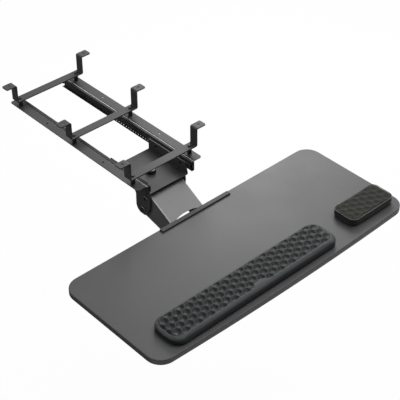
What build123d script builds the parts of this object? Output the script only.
"""Under-desk keyboard tray on ball-bearing slides with a parallelogram arm.

The origin is the centre of the screw-hole pattern in the plane where the hanger
bars meet the desk's underside. +Z is up, -Y is towards the user, so the whole
tray hangs below z = 0. All lengths are millimetres.
"""

from build123d import *
import os
from math import atan2, cos, degrees, hypot, radians, sin

os.makedirs("parts", exist_ok=True)

# Clearances and one overrun shared by every cut
running_gap = 0.05
side_gap = 0.3
cut_overrun = 1.0

# Hanger bars: flat strips with two hangers and two tabs each
bar_width = 22.3
bar_thickness = 3.0
bar_end_margin = 30.4
hanger_drop = 47.7
hanger_overhang = 15.5
tab_reach = 27.1
tab_corner_radius = 4.0
bar_bend_radius = 1.5
tab_hole_radius = 2.75
tab_hole_inset = 13.0

# Spacers and screws that hang the rail brackets from the bars
spacer_height = 17.6
spacer_radius = 5.35
spacer_flange_place = 14.3
hanger_screw_radius = 2.4
hanger_screw_head_radius = 4.6
hanger_screw_head_height = 2.6
hanger_nut_width = 8.0
hanger_nut_height = 4.0
hanger_screw_tail = 1.2

# Rail brackets: L sections with the flange outwards
rail_length = 496.0
rail_sheet = 2.0
rail_half_span = 72.7
rail_flange_width = 26.0
rail_corner_radius = 6.0
rail_bend_radius = 0.6
rail_spare_hole_radius = 2.6

# Ball slides
slide_overhang = 2.0
slide_height = 25.8
slide_sheet = 1.2
slide_lip_gap = 0.35
slide_curl = 1.4
slide_lug_thickness = 1.5
slide_lug_height = 9.0
slide_lug_reach = 5.0
slide_rivet_radius = 2.0
slide_rivet_head_radius = 4.0
slide_rivet_head_height = 1.5
slide_rivet_end_margin = 48.0
ball_radius = 1.95
ball_count = 11
ball_end_margin = 6.0
cage_length = 285.0
cage_sheet = 0.8
cage_hole_gap = 0.15
cage_front_gap = 10.0
inner_slide_length = 148.0
inner_slide_depth = 10.1
inner_slide_sheet = 1.4
slide_end_gap = 0.5

# Carriage channel that runs on the inner slides
carriage_sheet = 2.5
carriage_wall_rise = 1.0
carriage_floor_drop = 20.3
carriage_length = 139.5
carriage_front_gap = 6.0
carriage_wall_lean = 8.0
carriage_bend_radius = 1.0
carriage_screw_radius = 2.0
carriage_screw_head_radius = 4.2
carriage_screw_head_height = 2.0
carriage_screw_end_margin = 24.75

# Swivel between carriage and pivot bracket
swivel_setback = 64.0
swivel_washer_thickness = 1.5
swivel_washer_radius = 28.0
swivel_bolt_radius = 5.0
swivel_bolt_head_radius = 9.0
swivel_bolt_head_height = 5.0
swivel_nut_radius = 12.5
swivel_nut_height = 10.0
swivel_nut_edge = 2.5

# Pivot bracket with its two ears
bracket_sheet = 3.0
bracket_half_width = 56.5
bracket_back_reach = 60.0
bracket_flange_depth = 15.9
bracket_bend_radius = 1.5
ear_front_margin = 13.0
ear_back_margin = 25.3
ear_low_margin = 17.1
ear_back_radius = 20.0
ear_front_radius = 14.0
ear_neck_radius = 10.0
ear_cut_width = 14.2
ear_cut_height = 29.6

# Arm pivots
arm_pivot_reach = 47.0
arm_pivot_drop = 16.0
link_offset_back = 11.5
link_offset_down = 37.0
pivot_bolt_radius = 4.0
pivot_head_radius = 7.0
pivot_head_height = 3.6
pivot_dome_share = 0.67
pivot_nut_width = 13.0
pivot_nut_height = 6.0
pivot_tail = 2.0

# Arm: a deep inverted channel
arm_slope = 28.5
arm_length = 118.0
arm_side_gap = 2.5
arm_sheet = 2.5
arm_top = 11.9
arm_boss_radius = 12.0
arm_top_start = 2.0
arm_scoop_setback = 39.8
arm_scoop_radius = 105.0
arm_rear_depth = 56.0
arm_rear_place = 19.0
arm_front_depth = 29.0
arm_tail_width = 22.0
arm_bend_radius = 0.5
arm_belly_radius = 10.0
arm_tail_radius = 4.0
arm_tube_radius = 7.0
arm_slot_gap = 0.6
arm_slot_spare = 1.5
arm_raise = 28.0
arm_lower = 22.0
washer_radius = 9.0

# Lower link bars
link_sheet = 3.0
link_half_width = 9.0
link_wall_gap = 0.5
open_pivot_gap = 0.3
link_tube_radius = 6.5

# Tilt bracket between arm and tray
tilt_sheet = 3.0
tilt_eye_radius = 11.0
tilt_axis_forward = 18.3
tilt_axis_rise = 10.8
tilt_front_eye_radius = 10.0
tilt_web_start = 19.0
tilt_web_margin = 6.0
front_tube_radius = 6.0
front_head_height = 2.0
tilt_head_radius = 7.0
tilt_head_height = 3.0
tilt_bolt_grip = 5.0

# Tray mounting plate
plate_sheet = 2.5
plate_half_width = 55.0
plate_length = 120.0
plate_back_gap = 8.6
plate_corner_radius = 8.0
plate_flange_gap = 0.6
plate_flange_sheet = 3.0
plate_flange_root = 46.0
tilt_tube_radius = 7.0
plate_screw_radius = 2.0
plate_screw_head_radius = 4.0
plate_screw_head_height = 2.2
plate_screw_depth = 9.0
plate_screw_side_margin = 7.0
plate_screw_end_margin = 12.0

# Tilt knob
knob_hub_radius = 7.0
knob_hub_length = 11.0
knob_radius = 19.0
knob_width = 17.0
knob_lobes = 6
knob_lobe_radius = 5.5
knob_edge = 1.5

# Tray board
tray_width = 762.0
tray_depth = 316.1
tray_bow = 8.5
tray_thickness = 14.5
tray_corner_radius = 38.0
tray_edge_radius = 2.0
tray_over_tilt_axis = 24.3
tray_behind_tilt_axis = 20.6

# Keyboard stop along the back edge
stop_length = 209.0
stop_depth = 12.0
stop_height = 4.0
stop_setback = 2.0
stop_edge_radius = 1.0

# Wrist rests: a thin base and a soft pad on each
rest_base_thickness = 2.0
rest_base_inset = 3.5
rest_height = 20.0
rest_spacing = 59.0
keyboard_rest_width = 89.0
keyboard_rest_corner = 28.0
keyboard_rest_from_left = 54.5
keyboard_rest_from_front = 5.7
mouse_rest_length = 145.5
mouse_rest_width = 71.5
mouse_rest_corner = 18.0
mouse_rest_from_right = 14.5
mouse_rest_from_front = 21.5
pad_level_shares = (0.0, 0.32, 0.62, 0.86, 1.0)
pad_inset_shares = (0.28, 0.0, 0.08, 0.42, 1.0)
pad_crown_inset = 11.0

# Levels worked out from the sizes above
strip_top = -hanger_drop
strip_under = strip_top - bar_thickness
flange_top = strip_under - spacer_height
flange_under = flange_top - rail_sheet
slide_level = flange_top - slide_height / 2
slide_under = flange_top - slide_height
floor_top = slide_level - carriage_floor_drop
floor_under = floor_top - carriage_sheet
bracket_top = floor_under - swivel_washer_thickness - running_gap
bracket_under = bracket_top - bracket_sheet

# Places along the slides, all from the rail brackets' length
bar_pitch = rail_length / 2 - bar_end_margin
slide_rivet_pitch = rail_length / 2 - slide_rivet_end_margin
slide_length = rail_length + 2 * slide_overhang
slide_front = -slide_length / 2
inner_front = slide_front + slide_lug_thickness + slide_end_gap
carriage_front = inner_front + carriage_front_gap
carriage_back = carriage_front + carriage_length
carriage_middle = (carriage_front + carriage_back) / 2
carriage_screw_pitch = carriage_length - 2 * carriage_screw_end_margin
swivel_y = carriage_front + swivel_setback
cage_front = slide_front + cage_front_gap
ball_pitch = (cage_length - 2 * ball_end_margin) / (ball_count - 1)

# Faces across the bars and the slides, from the rail brackets
spacer_half_span = rail_half_span + spacer_flange_place
hanger_half_span = spacer_half_span + hanger_overhang
rail_outer_face = rail_half_span + rail_sheet
flange_reach = rail_half_span + rail_flange_width
slide_web_face = rail_half_span - slide_sheet
cage_outer_face = slide_web_face - side_gap
cage_inner_face = cage_outer_face - cage_sheet
ball_x = cage_inner_face - side_gap - cage_hole_gap - ball_radius
slide_lip = ball_x - ball_radius - slide_lip_gap - slide_sheet
inner_slide_reach = cage_inner_face - side_gap
carriage_half_width = inner_slide_reach - inner_slide_depth

# Levels inside a slide, measured from its middle
race_rise = slide_height / 2 - slide_sheet
ball_rise = race_rise - ball_radius - running_gap
inner_rise = ball_rise - ball_radius - running_gap

# The ears' outline, set by the two pivots that they carry
ear_width = ear_front_margin + link_offset_back + ear_back_margin
ear_drop = bracket_sheet + arm_pivot_drop + link_offset_down + ear_low_margin

# Pivots of the parallelogram and the tray's tilt axis
slope = radians(arm_slope)
arm_along = Vector(0, -cos(slope), -sin(slope))
arm_normal = Vector(0, -sin(slope), cos(slope))
link_shift = Vector(0, link_offset_back, -link_offset_down)
arm_pivot = Vector(0, swivel_y - arm_pivot_reach, bracket_under - arm_pivot_drop)
link_pivot = arm_pivot + link_shift
front_pivot = arm_pivot + arm_along * arm_length
front_link_pivot = front_pivot + link_shift
tilt_axis = front_pivot + Vector(0, -tilt_axis_forward, tilt_axis_rise)

# The tray's levels and back edge
tray_under = tilt_axis.Z + tray_over_tilt_axis
tray_top = tray_under + tray_thickness
tray_back = tilt_axis.Y + tray_behind_tilt_axis
plate_under = tray_under - plate_sheet

# Faces across the arm, from the ears inwards
ear_inner = bracket_half_width - bracket_sheet
arm_half_width = ear_inner - arm_side_gap
arm_inner = arm_half_width - arm_sheet
link_outer = arm_inner - link_wall_gap
link_inner = link_outer - link_sheet
tilt_outer = link_inner - side_gap
tilt_inner = tilt_outer - tilt_sheet
plate_flange_outer = tilt_inner - plate_flange_gap
plate_flange_inner = plate_flange_outer - plate_flange_sheet


def finish(part, name):
    """Label a finished piece and write it to its file."""
    part.label = name
    export_step(part, f"parts/{name}.step")


def side_plane(x):
    """The plane across the object at x, with local X along Y and local Y up."""
    return Plane.YZ.offset(x)


def in_side(point):
    """A point's place in a side plane."""
    return (point.Y, point.Z)


def channel_outline(half_width, web, leg_end, sheet, bend):
    """Points and bend radii of a U section whose web lies at one level."""
    inside = web + sheet if leg_end > web else web - sheet
    inner = half_width - sheet
    points = [
        (-half_width, web),
        (half_width, web),
        (half_width, leg_end),
        (inner, leg_end),
        (inner, inside),
        (-inner, inside),
        (-inner, leg_end),
        (-half_width, leg_end),
    ]
    radii = [bend + sheet, bend + sheet, 0, 0, bend, bend, 0, 0]
    return points, radii


def round_bar(center, radius, low_x, high_x, bore=0):
    """A pin, tube or washer along X about a pivot."""
    with BuildPart() as bar:
        with BuildSketch(side_plane(low_x)):
            with Locations(in_side(center)):
                Circle(radius)
                if bore:
                    Circle(bore, mode=Mode.SUBTRACT)
        extrude(amount=high_x - low_x)
    return bar.part


def both_sides(part):
    """A piece and its mirror image, as separate solids of one node."""
    return Compound(children=[part, mirror(part, about=Plane.YZ)])


# Hanger bars
bar_places = {"front": -bar_pitch, "middle": 0, "rear": bar_pitch}


def hanger_bar(center_y):
    """Strip, two hangers and two tabs, bent from one flat bar."""
    hanger_inner = hanger_half_span - bar_thickness
    tab_end = hanger_half_span + tab_reach
    right_half = [
        (hanger_half_span, strip_under),
        (hanger_half_span, -bar_thickness),
        (tab_end, -bar_thickness),
        (tab_end, 0),
        (hanger_inner, 0),
        (hanger_inner, strip_top),
    ]
    left_half = [(-x, z) for x, z in reversed(right_half)]
    outer_bend = bar_bend_radius + bar_thickness
    bends = [outer_bend, bar_bend_radius, 0, 0, outer_bend, bar_bend_radius]
    hole_x = hanger_half_span + tab_hole_inset
    with BuildPart() as bar:
        with BuildSketch(Plane.XZ.offset(-center_y - bar_width / 2)):
            with BuildLine():
                FilletPolyline(right_half + left_half, radius=bends + bends[::-1], close=True)
            make_face()
        extrude(amount=bar_width)
        upright_edges = bar.edges().filter_by(Axis.Z).group_by(Axis.X)
        fillet(upright_edges[0] + upright_edges[-1], radius=tab_corner_radius)
        with BuildSketch(Plane.XY.offset(cut_overrun)):
            with Locations((-hole_x, center_y), (hole_x, center_y)):
                Circle(tab_hole_radius)
        extrude(amount=-bar_thickness - 2 * cut_overrun, mode=Mode.SUBTRACT)
        with BuildSketch(Plane.XY.offset(strip_top + cut_overrun)):
            with Locations((-spacer_half_span, center_y), (spacer_half_span, center_y)):
                Circle(hanger_screw_radius)
        extrude(amount=-bar_thickness - 2 * cut_overrun, mode=Mode.SUBTRACT)
    return bar.part


for bar_name, bar_y in bar_places.items():
    finish(hanger_bar(bar_y), f"{bar_name}_hanger_bar")

# Spacers, screws and nuts between the bars and the rail brackets
spacer_spots = [(x, y) for y in bar_places.values() for x in (-spacer_half_span, spacer_half_span)]
nut_under = flange_under - hanger_nut_height
screw_end = nut_under - hanger_screw_tail

with BuildPart() as hanger_spacers:
    with BuildSketch(Plane.XY.offset(flange_top)):
        with Locations(*spacer_spots):
            Circle(spacer_radius)
            Circle(hanger_screw_radius, mode=Mode.SUBTRACT)
    extrude(amount=spacer_height)
finish(hanger_spacers.part, "hanger_spacers")

with BuildPart() as hanger_screws:
    with BuildSketch(Plane.XY.offset(screw_end)):
        with Locations(*spacer_spots):
            Circle(hanger_screw_radius)
    extrude(amount=strip_top - screw_end)
    with BuildSketch(Plane.XY.offset(strip_top)):
        with Locations(*spacer_spots):
            Circle(hanger_screw_head_radius)
    extrude(amount=hanger_screw_head_height)
    fillet(hanger_screws.edges().group_by(Axis.Z)[-1], radius=hanger_screw_head_height / 2)
finish(hanger_screws.part, "hanger_screws")

with BuildPart() as hanger_nuts:
    with BuildSketch(Plane.XY.offset(nut_under)):
        with Locations(*spacer_spots):
            RegularPolygon(hanger_nut_width / 2, 6, major_radius=False)
            Circle(hanger_screw_radius, mode=Mode.SUBTRACT)
    extrude(amount=hanger_nut_height)
finish(hanger_nuts.part, "hanger_nuts")

# Rail brackets, slides and the carriage's fixing points
rivet_spots = [(y, slide_level) for y in (-slide_rivet_pitch, 0, slide_rivet_pitch)]
carriage_screw_spots = [
    (carriage_middle - carriage_screw_pitch / 2, slide_level),
    (carriage_middle + carriage_screw_pitch / 2, slide_level),
]
ball_middle = cage_front + cage_length / 2
ball_places = [ball_middle + ball_pitch * (i - (ball_count - 1) / 2) for i in range(ball_count)]


def rail_bracket():
    """Right-hand L section that carries one slide."""
    outline = [
        (rail_half_span, flange_top),
        (flange_reach, flange_top),
        (flange_reach, flange_under),
        (rail_outer_face, flange_under),
        (rail_outer_face, slide_under),
        (rail_half_span, slide_under),
    ]
    bends = [rail_bend_radius + rail_sheet, 0, 0, rail_bend_radius, 0, 0]
    with BuildPart() as bracket:
        with BuildSketch(Plane.XZ.offset(-rail_length / 2)):
            with BuildLine():
                FilletPolyline(outline, radius=bends, close=True)
            make_face()
        extrude(amount=rail_length)
        flange_ends = bracket.edges().filter_by(Axis.Z).group_by(Axis.X)[-1]
        fillet(flange_ends, radius=rail_corner_radius)
        with BuildSketch(Plane.XY.offset(flange_top + cut_overrun)):
            with Locations(*[(spacer_half_span, y) for y in bar_places.values()]):
                Circle(hanger_screw_radius)
            with Locations((spacer_half_span, -bar_pitch / 2), (spacer_half_span, bar_pitch / 2)):
                Circle(rail_spare_hole_radius)
        extrude(amount=-rail_sheet - 2 * cut_overrun, mode=Mode.SUBTRACT)
        with BuildSketch(side_plane(rail_half_span - cut_overrun)):
            with Locations(*rivet_spots):
                Circle(slide_rivet_radius)
        extrude(amount=rail_sheet + 2 * cut_overrun, mode=Mode.SUBTRACT)
    return bracket.part


def slide_outer():
    """Right-hand outer slide: channel with curled lips and a lug at each end."""
    half = slide_height / 2
    lip_inner = slide_lip + slide_sheet
    curl = race_rise - slide_curl
    upper = [
        (rail_half_span, half),
        (slide_lip, half),
        (slide_lip, curl),
        (lip_inner, curl),
        (lip_inner, race_rise),
        (slide_web_face, race_rise),
    ]
    outline = [(x, slide_level + z) for x, z in upper]
    outline += [(x, slide_level - z) for x, z in reversed(upper)]
    corner = slide_sheet / 2
    bends = [corner, slide_sheet, 0, 0, 0, corner]
    lug_place = -slide_front - slide_lug_thickness / 2
    with BuildPart() as outer:
        with BuildSketch(Plane.XZ.offset(slide_front)):
            with BuildLine():
                FilletPolyline(outline, radius=bends + bends[::-1], close=True)
            make_face()
        extrude(amount=slide_length)
        with BuildSketch(side_plane(slide_web_face)):
            with Locations((-lug_place, slide_level), (lug_place, slide_level)):
                Rectangle(slide_lug_thickness, slide_lug_height)
        extrude(amount=-slide_lug_reach)
        with BuildSketch(side_plane(slide_web_face - cut_overrun)):
            with Locations(*rivet_spots):
                Circle(slide_rivet_radius)
        extrude(amount=slide_sheet + 2 * cut_overrun, mode=Mode.SUBTRACT)
    return outer.part


def ball_cage():
    """Right-hand ball cage: a thin folded strip with a row of holes in each leg."""
    leg_start = slide_lip - side_gap
    half = ball_rise + cage_sheet / 2
    inside = half - cage_sheet
    outline = [
        (leg_start, slide_level + half),
        (cage_outer_face, slide_level + half),
        (cage_outer_face, slide_level - half),
        (leg_start, slide_level - half),
        (leg_start, slide_level - inside),
        (cage_inner_face, slide_level - inside),
        (cage_inner_face, slide_level + inside),
        (leg_start, slide_level + inside),
    ]
    hole = 2 * (ball_radius + cage_hole_gap)
    with BuildPart() as cage:
        with BuildSketch(Plane.XZ.offset(-cage_front)):
            with BuildLine():
                Polyline(outline, close=True)
            make_face()
        extrude(amount=-cage_length)
        with BuildSketch(Plane.XY.offset(slide_level)):
            with Locations(*[(ball_x, y) for y in ball_places]):
                Rectangle(hole, hole)
        extrude(amount=half + cut_overrun, both=True, mode=Mode.SUBTRACT)
    return cage.part


def slide_balls():
    """Upper and lower row of balls of the right-hand slide."""
    rows = (slide_level + ball_rise, slide_level - ball_rise)
    with BuildPart() as balls:
        with Locations(*[(ball_x, y, level) for level in rows for y in ball_places]):
            Sphere(ball_radius)
    return balls.part


def slide_inner():
    """Right-hand inner slide, whose back is screwed to the carriage wall."""
    back = carriage_half_width + inner_slide_sheet
    leg = inner_rise - inner_slide_sheet
    upper = [
        (carriage_half_width, inner_rise),
        (inner_slide_reach, inner_rise),
        (inner_slide_reach, leg),
        (back, leg),
    ]
    outline = [(x, slide_level + z) for x, z in upper]
    outline += [(x, slide_level - z) for x, z in reversed(upper)]
    bends = [inner_slide_sheet, 0, 0, inner_slide_sheet / 2]
    with BuildPart() as inner:
        with BuildSketch(Plane.XZ.offset(-inner_front)):
            with BuildLine():
                FilletPolyline(outline, radius=bends + bends[::-1], close=True)
            make_face()
        extrude(amount=-inner_slide_length)
        with BuildSketch(side_plane(carriage_half_width - cut_overrun)):
            with Locations(*carriage_screw_spots):
                Circle(carriage_screw_radius)
        extrude(amount=inner_slide_sheet + 2 * cut_overrun, mode=Mode.SUBTRACT)
    return inner.part


handed_pieces = {
    "rail_bracket": rail_bracket(),
    "slide_outer": slide_outer(),
    "ball_cage": ball_cage(),
    "slide_balls": slide_balls(),
    "slide_inner": slide_inner(),
}
for piece_name, piece in handed_pieces.items():
    finish(piece, f"right_{piece_name}")
    finish(mirror(piece, about=Plane.YZ), f"left_{piece_name}")

with BuildPart() as slide_rivets:
    with BuildSketch(side_plane(slide_web_face)):
        with Locations(*rivet_spots):
            Circle(slide_rivet_radius)
    extrude(amount=slide_sheet + rail_sheet)
    with BuildSketch(side_plane(rail_outer_face)):
        with Locations(*rivet_spots):
            Circle(slide_rivet_head_radius)
    extrude(amount=slide_rivet_head_height)
    fillet(slide_rivets.edges().group_by(Axis.X)[-1], radius=slide_rivet_head_height / 2)
    mirror(about=Plane.YZ)
finish(slide_rivets.part, "slide_rivets")

# Carriage: a U section whose walls lean back a little at the front
wall_top = slide_level + inner_rise + carriage_wall_rise
carriage_section, carriage_bends = channel_outline(
    carriage_half_width, floor_under, wall_top, carriage_sheet, carriage_bend_radius
)
with BuildPart() as carriage_channel:
    with BuildSketch(Plane.XZ.offset(-carriage_front)):
        with BuildLine():
            FilletPolyline(carriage_section, radius=carriage_bends, close=True)
        make_face()
    extrude(amount=-carriage_length)
    with BuildSketch(side_plane(0)):
        with BuildLine():
            Polyline(
                (carriage_front, floor_top),
                (carriage_front + carriage_wall_lean, wall_top),
                (carriage_front, wall_top),
                close=True,
            )
        make_face()
        with Locations(*carriage_screw_spots):
            Circle(carriage_screw_radius)
    extrude(amount=carriage_half_width + cut_overrun, both=True, mode=Mode.SUBTRACT)
    with BuildSketch(Plane.XY.offset(floor_top + cut_overrun)):
        with Locations((0, swivel_y)):
            Circle(swivel_bolt_radius)
    extrude(amount=-carriage_sheet - 2 * cut_overrun, mode=Mode.SUBTRACT)
finish(carriage_channel.part, "carriage_channel")

with BuildPart() as carriage_screws:
    with BuildSketch(side_plane(carriage_half_width - carriage_sheet)):
        with Locations(*carriage_screw_spots):
            Circle(carriage_screw_radius)
    extrude(amount=carriage_sheet + inner_slide_sheet)
    with BuildSketch(side_plane(carriage_half_width - carriage_sheet)):
        with Locations(*carriage_screw_spots):
            Circle(carriage_screw_head_radius)
    extrude(amount=-carriage_screw_head_height)
    fillet(carriage_screws.edges().group_by(Axis.X)[0], radius=carriage_screw_head_height / 2)
    mirror(about=Plane.YZ)
finish(carriage_screws.part, "carriage_screws")

# Swivel: washer, bolt and cap nut on the carriage's centre line
nut_top = floor_top + swivel_nut_height
bolt_top = nut_top - swivel_nut_edge
bolt_bottom = bracket_under - running_gap - swivel_bolt_head_height

with BuildPart() as swivel_washer:
    with BuildSketch(Plane.XY.offset(floor_under)):
        with Locations((0, swivel_y)):
            Circle(swivel_washer_radius)
            Circle(swivel_bolt_radius, mode=Mode.SUBTRACT)
    extrude(amount=-swivel_washer_thickness)
finish(swivel_washer.part, "swivel_washer")

with BuildPart() as swivel_bolt:
    with BuildSketch(Plane.XY.offset(bolt_bottom)):
        with Locations((0, swivel_y)):
            Circle(swivel_bolt_head_radius)
    extrude(amount=swivel_bolt_head_height)
    fillet(swivel_bolt.edges().group_by(Axis.Z)[0], radius=swivel_bolt_head_height / 3)
    with BuildSketch(Plane.XY.offset(bolt_bottom + swivel_bolt_head_height)):
        with Locations((0, swivel_y)):
            Circle(swivel_bolt_radius)
    extrude(amount=bolt_top - bolt_bottom - swivel_bolt_head_height)
finish(swivel_bolt.part, "swivel_bolt")

with BuildPart() as swivel_nut:
    with BuildSketch(Plane.XY.offset(floor_top)):
        with Locations((0, swivel_y)):
            Circle(swivel_nut_radius)
    extrude(amount=swivel_nut_height)
    fillet(swivel_nut.edges().group_by(Axis.Z)[-1], radius=swivel_nut_edge)
    with BuildSketch(Plane.XY.offset(floor_top)):
        with Locations((0, swivel_y)):
            Circle(swivel_bolt_radius)
    extrude(amount=bolt_top - floor_top, mode=Mode.SUBTRACT)
finish(swivel_nut.part, "swivel_nut")

# Pivot bracket: plate, side flanges and two ears, bent from one sheet
ear_front = arm_pivot.Y - ear_front_margin
ear_back = ear_front + ear_width
ear_under = bracket_top - ear_drop
flange_edge = bracket_top - bracket_flange_depth
bracket_back = swivel_y + bracket_back_reach
ear_outline = [
    (ear_front, bracket_top),
    (ear_front, ear_under + ear_cut_height),
    (ear_front + ear_cut_width, ear_under),
    (ear_back, ear_under),
    (ear_back, flange_edge),
    (bracket_back, flange_edge),
    (bracket_back, bracket_top),
]
ear_corners = [0, ear_neck_radius, ear_front_radius, ear_back_radius, ear_neck_radius, ear_neck_radius, 0]
bracket_section, bracket_bends = channel_outline(
    bracket_half_width, bracket_top, ear_under, bracket_sheet, bracket_bend_radius
)
with BuildPart() as pivot_bracket:
    with BuildSketch(Plane.XZ.offset(-ear_front)):
        with BuildLine():
            FilletPolyline(bracket_section, radius=bracket_bends, close=True)
        make_face()
    extrude(amount=ear_front - bracket_back)
    with BuildSketch(side_plane(-bracket_half_width)):
        with BuildLine():
            FilletPolyline(ear_outline, radius=ear_corners, close=True)
        make_face()
        with Locations(in_side(arm_pivot), in_side(link_pivot)):
            Circle(pivot_bolt_radius, mode=Mode.SUBTRACT)
    extrude(amount=2 * bracket_half_width, mode=Mode.INTERSECT)
    with BuildSketch(Plane.XY.offset(bracket_top + cut_overrun)):
        with Locations((0, swivel_y)):
            Circle(swivel_bolt_radius + running_gap)
    extrude(amount=-bracket_sheet - 2 * cut_overrun, mode=Mode.SUBTRACT)
finish(pivot_bracket.part, "pivot_bracket")


def ear_bolt(center):
    """Round-headed bolt through both ears, with its head on the left."""
    with BuildPart() as bolt:
        with BuildSketch(side_plane(-bracket_half_width)):
            with Locations(in_side(center)):
                Circle(pivot_head_radius)
        extrude(amount=-pivot_head_height)
        fillet(bolt.edges().group_by(Axis.X)[0], radius=pivot_head_height * pivot_dome_share)
        with BuildSketch(side_plane(-bracket_half_width)):
            with Locations(in_side(center)):
                Circle(pivot_bolt_radius)
        extrude(amount=2 * bracket_half_width + pivot_nut_height + pivot_tail)
    return bolt.part


def ear_nut(center):
    """Hexagon nut on the right-hand ear."""
    with BuildPart() as nut:
        with BuildSketch(side_plane(bracket_half_width)):
            with Locations(in_side(center)):
                RegularPolygon(pivot_nut_width / 2, 6, major_radius=False)
                Circle(pivot_bolt_radius, mode=Mode.SUBTRACT)
        extrude(amount=pivot_nut_height)
    return nut.part


for bolt_name, bolt_center in {"arm_pivot": arm_pivot, "link_pivot": link_pivot}.items():
    finish(ear_bolt(bolt_center), f"{bolt_name}_bolt")
    finish(ear_nut(bolt_center), f"{bolt_name}_nut")

bolt_bore = pivot_bolt_radius + running_gap
washer = round_bar(arm_pivot, washer_radius, arm_half_width + side_gap, ear_inner, pivot_bolt_radius)
finish(both_sides(washer), "arm_pivot_washers")
tube = round_bar(link_pivot, link_tube_radius, -tilt_outer, tilt_outer, pivot_bolt_radius)
finish(tube, "link_pivot_tube")

# Arm: a deep inverted U whose walls carry both pivots and the link's arc slot
arm_side = Plane(origin=arm_pivot, x_dir=arm_along, z_dir=(-1, 0, 0))
arm_section_plane = Plane(origin=arm_pivot, x_dir=(1, 0, 0), z_dir=arm_along)
arm_top_plane = Plane(origin=arm_pivot, x_dir=arm_along, z_dir=arm_normal)
arm_nose = arm_length + arm_boss_radius
arm_scoop_start = arm_length - arm_scoop_setback
link_radius = hypot(link_offset_back, link_offset_down)
link_along = link_shift.dot(arm_along)
link_rise = link_shift.dot(arm_normal)
slot_start = degrees(atan2(link_rise, link_along)) - arm_raise - arm_slot_spare
slot_sweep = arm_raise + arm_lower + 2 * arm_slot_spare
slot_path = CenterArc((0, 0), link_radius, slot_start, slot_sweep)
arm_outline = [
    (-arm_boss_radius, arm_top),
    (arm_nose, arm_top),
    (arm_nose, -arm_front_depth / 2),
    (arm_length, -arm_front_depth),
    (arm_rear_place, -arm_rear_depth),
    (-arm_boss_radius, -arm_rear_depth + arm_boss_radius / 2),
    (-arm_tail_width, -link_radius - arm_boss_radius / 2),
    (-arm_tail_width, -link_radius + arm_boss_radius),
    (-arm_boss_radius, -arm_boss_radius),
]
arm_corners = [
    arm_top,
    arm_top,
    arm_belly_radius,
    arm_belly_radius,
    arm_belly_radius,
    arm_tail_radius,
    arm_tail_radius,
    arm_tail_radius,
    arm_tail_radius,
]
arm_section, arm_bends = channel_outline(
    arm_half_width, arm_top, -arm_rear_depth, arm_sheet, arm_bend_radius
)
with BuildPart() as arm_channel:
    with BuildSketch(arm_section_plane.offset(-arm_tail_width)):
        with BuildLine():
            FilletPolyline(arm_section, radius=arm_bends, close=True)
        make_face()
    extrude(amount=arm_tail_width + arm_nose)
    with BuildSketch(arm_side.offset(-arm_half_width)):
        with BuildLine():
            FilletPolyline(arm_outline, radius=arm_corners, close=True)
        make_face()
        Circle(bolt_bore, mode=Mode.SUBTRACT)
        with Locations((arm_length, 0)):
            Circle(pivot_bolt_radius, mode=Mode.SUBTRACT)
        SlotArc(slot_path, 2 * (pivot_bolt_radius + arm_slot_gap), mode=Mode.SUBTRACT)
    extrude(amount=2 * arm_half_width, mode=Mode.INTERSECT)
    # The top plate starts behind a straight edge and ends in a concave scoop
    with BuildSketch(arm_top_plane.offset(arm_top + cut_overrun)):
        with Locations((arm_scoop_start + arm_scoop_radius, 0)):
            Circle(arm_scoop_radius)
        with Locations((arm_top_start - arm_boss_radius - arm_tail_width / 2, 0)):
            Rectangle(2 * arm_boss_radius + arm_tail_width, 2 * arm_inner)
        with Locations((arm_length / 2, 0)):
            Rectangle(2 * arm_length, 2 * arm_inner, mode=Mode.INTERSECT)
    extrude(amount=-arm_sheet - arm_bend_radius - 2 * cut_overrun, mode=Mode.SUBTRACT)
finish(arm_channel.part, "arm_channel")

tube = round_bar(arm_pivot, arm_tube_radius, -arm_inner, arm_inner, bolt_bore)
finish(tube, "arm_cross_tube")

with BuildPart() as front_pivot_pin:
    with BuildSketch(side_plane(0)):
        with Locations(in_side(front_pivot)):
            Circle(pivot_bolt_radius)
    extrude(amount=arm_half_width, both=True)
    with BuildSketch(side_plane(arm_half_width)):
        with Locations(in_side(front_pivot)):
            Circle(pivot_head_radius)
    extrude(amount=front_head_height)
    fillet(front_pivot_pin.edges().group_by(Axis.X)[-1], radius=front_head_height / 2)
    mirror(about=Plane.YZ)
finish(front_pivot_pin.part, "front_pivot_pin")

washer = round_bar(front_pivot, washer_radius, tilt_outer + side_gap, arm_inner, pivot_bolt_radius)
finish(both_sides(washer), "front_pivot_washers")

# Lower link bars, one inside each wall of the arm
with BuildPart() as right_link_bar:
    with BuildSketch(arm_side.offset(-link_outer)):
        with Locations((link_along + arm_length / 2, link_rise)):
            SlotCenterToCenter(arm_length, 2 * link_half_width)
        with Locations((link_along, link_rise)):
            Circle(bolt_bore, mode=Mode.SUBTRACT)
        with Locations((link_along + arm_length, link_rise)):
            Circle(pivot_bolt_radius + open_pivot_gap, mode=Mode.SUBTRACT)
    extrude(amount=link_sheet)
finish(right_link_bar.part, "right_link_bar")
finish(mirror(right_link_bar.part, about=Plane.YZ), "left_link_bar")

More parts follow.
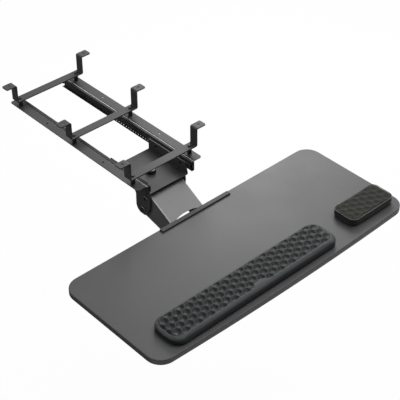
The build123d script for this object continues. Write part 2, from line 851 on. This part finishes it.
# Tilt bracket: two three-eyed plates joined by a web along their front edge
web_line = front_link_pivot - tilt_axis
web_plane = Plane(origin=tilt_axis, x_dir=web_line, z_dir=(1, 0, 0))
web_end = web_line.length - tilt_web_margin
with BuildPart() as tilt_bracket:
    with BuildSketch(side_plane(tilt_inner)):
        with Locations(in_side(front_pivot), in_side(tilt_axis)):
            Circle(tilt_eye_radius)
        with Locations(in_side(front_link_pivot)):
            Circle(tilt_front_eye_radius)
        make_hull()
        with Locations(in_side(front_link_pivot), in_side(tilt_axis)):
            Circle(pivot_bolt_radius, mode=Mode.SUBTRACT)
        with Locations(in_side(front_pivot)):
            Circle(bolt_bore, mode=Mode.SUBTRACT)
    extrude(amount=tilt_sheet)
    mirror(about=Plane.YZ)
    with BuildSketch(web_plane):
        with Locations(((tilt_web_start + web_end) / 2, tilt_sheet / 2 - tilt_front_eye_radius)):
            Rectangle(web_end - tilt_web_start, tilt_sheet)
    extrude(amount=tilt_inner, both=True)
finish(tilt_bracket.part, "tilt_bracket")

pin_reach = link_outer + link_wall_gap / 2
finish(round_bar(front_link_pivot, pivot_bolt_radius, -pin_reach, pin_reach), "front_link_pin")
tube = round_bar(front_link_pivot, front_tube_radius, -tilt_inner, tilt_inner, pivot_bolt_radius)
finish(tube, "front_link_tube")

# Tilt bolt with its head on the left and the clamping knob on the right
knob_start = tilt_outer + side_gap
star_start = knob_start + knob_hub_length
tilt_bolt_end = star_start + tilt_bolt_grip
with BuildPart() as tilt_bolt:
    with BuildSketch(side_plane(-tilt_outer)):
        with Locations(in_side(tilt_axis)):
            Circle(tilt_head_radius)
    extrude(amount=-tilt_head_height)
    fillet(tilt_bolt.edges().group_by(Axis.X)[0], radius=tilt_head_height / 2)
    with BuildSketch(side_plane(-tilt_outer)):
        with Locations(in_side(tilt_axis)):
            Circle(pivot_bolt_radius)
    extrude(amount=tilt_outer + tilt_bolt_end)
finish(tilt_bolt.part, "tilt_bolt")

lobe_place = knob_radius - knob_lobe_radius
with BuildPart() as tilt_knob:
    with BuildSketch(side_plane(star_start)):
        with Locations(in_side(tilt_axis)):
            Circle(lobe_place)
            with PolarLocations(lobe_place, knob_lobes):
                Circle(knob_lobe_radius)
    extrude(amount=knob_width)
    fillet(tilt_knob.edges().group_by(Axis.X)[-1], radius=knob_edge)
    with BuildSketch(side_plane(knob_start)):
        with Locations(in_side(tilt_axis)):
            Circle(knob_hub_radius)
    extrude(amount=knob_hub_length)
    with BuildSketch(side_plane(knob_start)):
        with Locations(in_side(tilt_axis)):
            Circle(bolt_bore)
    extrude(amount=tilt_bolt_end - knob_start + side_gap, mode=Mode.SUBTRACT)
finish(tilt_knob.part, "tilt_knob")

# Tray mounting plate with two hinge flanges
plate_back = tray_back - plate_back_gap
screw_column = plate_half_width - plate_screw_side_margin
screw_row = plate_length / 2 - plate_screw_end_margin
plate_middle = plate_back - plate_length / 2
plate_screw_spots = [
    (x, plate_middle + row) for x in (-screw_column, screw_column) for row in (-screw_row, 0, screw_row)
]
with BuildPart() as tray_mount_plate:
    with BuildSketch(Plane.XY.offset(plate_under)):
        with Locations((0, plate_middle)):
            RectangleRounded(2 * plate_half_width, plate_length, plate_corner_radius)
        with Locations(*plate_screw_spots):
            Circle(plate_screw_radius, mode=Mode.SUBTRACT)
    extrude(amount=plate_sheet)
    with BuildSketch(side_plane(plate_flange_inner)):
        with Locations(in_side(tilt_axis)):
            Circle(tilt_eye_radius)
        with Locations(
            (tilt_axis.Y + tilt_eye_radius - plate_flange_root / 2, plate_under + plate_sheet / 2)
        ):
            Rectangle(plate_flange_root, plate_sheet)
        make_hull()
        with Locations(in_side(tilt_axis)):
            Circle(bolt_bore, mode=Mode.SUBTRACT)
    flange = extrude(amount=plate_flange_sheet)
    mirror(flange, about=Plane.YZ)
finish(tray_mount_plate.part, "tray_mount_plate")

tube = round_bar(tilt_axis, tilt_tube_radius, -plate_flange_inner, plate_flange_inner, bolt_bore)
finish(tube, "tilt_spacer_tube")

with BuildPart() as tray_screws:
    with BuildSketch(Plane.XY.offset(plate_under)):
        with Locations(*plate_screw_spots):
            Circle(plate_screw_head_radius)
    extrude(amount=-plate_screw_head_height)
    fillet(tray_screws.edges().group_by(Axis.Z)[0], radius=plate_screw_head_height / 2)
    with BuildSketch(Plane.XY.offset(plate_under)):
        with Locations(*plate_screw_spots):
            Circle(plate_screw_radius)
    extrude(amount=plate_sheet + plate_screw_depth)
finish(tray_screws.part, "tray_screws")

# Tray board: straight back, gently bowed front and softened edges
tray_half = tray_width / 2
tray_end_front = tray_back - tray_depth
with BuildPart() as tray_board:
    with BuildSketch(Plane.XY.offset(tray_under)) as board_face:
        with BuildLine():
            back_line = Line((-tray_half, tray_back), (tray_half, tray_back))
            Line(back_line @ 1, (tray_half, tray_end_front))
            ThreePointArc(
                (tray_half, tray_end_front),
                (0, tray_end_front - tray_bow),
                (-tray_half, tray_end_front),
            )
            Line((-tray_half, tray_end_front), back_line @ 0)
        make_face()
        fillet(board_face.vertices(), radius=tray_corner_radius)
    extrude(amount=tray_thickness)
    levels = tray_board.edges().group_by(Axis.Z)
    fillet(levels[0] + levels[-1], radius=tray_edge_radius)
    with BuildSketch(Plane.XY.offset(tray_under)):
        with Locations(*plate_screw_spots):
            Circle(plate_screw_radius)
    extrude(amount=plate_screw_depth, mode=Mode.SUBTRACT)
finish(tray_board.part, "tray_board")

with BuildPart() as keyboard_stop:
    with BuildSketch(Plane.XY.offset(tray_top)):
        with Locations((0, tray_back - stop_setback - stop_depth / 2)):
            Rectangle(stop_length, stop_depth)
    extrude(amount=stop_height)
    stop_edges = keyboard_stop.edges().filter_by(Axis.X).group_by(Axis.Z)[-1]
    fillet(stop_edges, radius=stop_edge_radius)
finish(keyboard_stop.part, "keyboard_stop")


def rest_base(center, length, width, corner):
    """Thin non-slip base under a wrist rest."""
    with BuildPart() as base:
        with BuildSketch(Plane.XY.offset(tray_top)):
            with Locations(center):
                RectangleRounded(
                    length - 2 * rest_base_inset,
                    width - 2 * rest_base_inset,
                    corner - rest_base_inset,
                )
        extrude(amount=rest_base_thickness)
    return base.part


def rest_pad(center, length, width, corner):
    """Soft pad, drawn in at its foot and rolled over to a crowned top."""
    pad_height = rest_height - rest_base_thickness
    with BuildPart() as pad:
        for level_share, inset_share in zip(pad_level_shares, pad_inset_shares):
            inset = inset_share * pad_crown_inset
            level = tray_top + rest_base_thickness + level_share * pad_height
            with BuildSketch(Plane.XY.offset(level)):
                with Locations(center):
                    RectangleRounded(length - 2 * inset, width - 2 * inset, corner - inset)
        loft()
    return pad.part


mouse_rest_left = tray_half - mouse_rest_from_right - mouse_rest_length
keyboard_rest_left = -tray_half + keyboard_rest_from_left
keyboard_rest_length = mouse_rest_left - rest_spacing - keyboard_rest_left
keyboard_rest_center = (
    keyboard_rest_left + keyboard_rest_length / 2,
    tray_end_front + keyboard_rest_from_front + keyboard_rest_width / 2,
)
mouse_rest_center = (
    mouse_rest_left + mouse_rest_length / 2,
    tray_end_front + mouse_rest_from_front + mouse_rest_width / 2,
)
rests = {
    "keyboard": (keyboard_rest_center, keyboard_rest_length, keyboard_rest_width, keyboard_rest_corner),
    "mouse": (mouse_rest_center, mouse_rest_length, mouse_rest_width, mouse_rest_corner),
}
for rest_name, rest_sizes in rests.items():
    finish(rest_base(*rest_sizes), f"{rest_name}_rest_base")
    finish(rest_pad(*rest_sizes), f"{rest_name}_rest_pad")
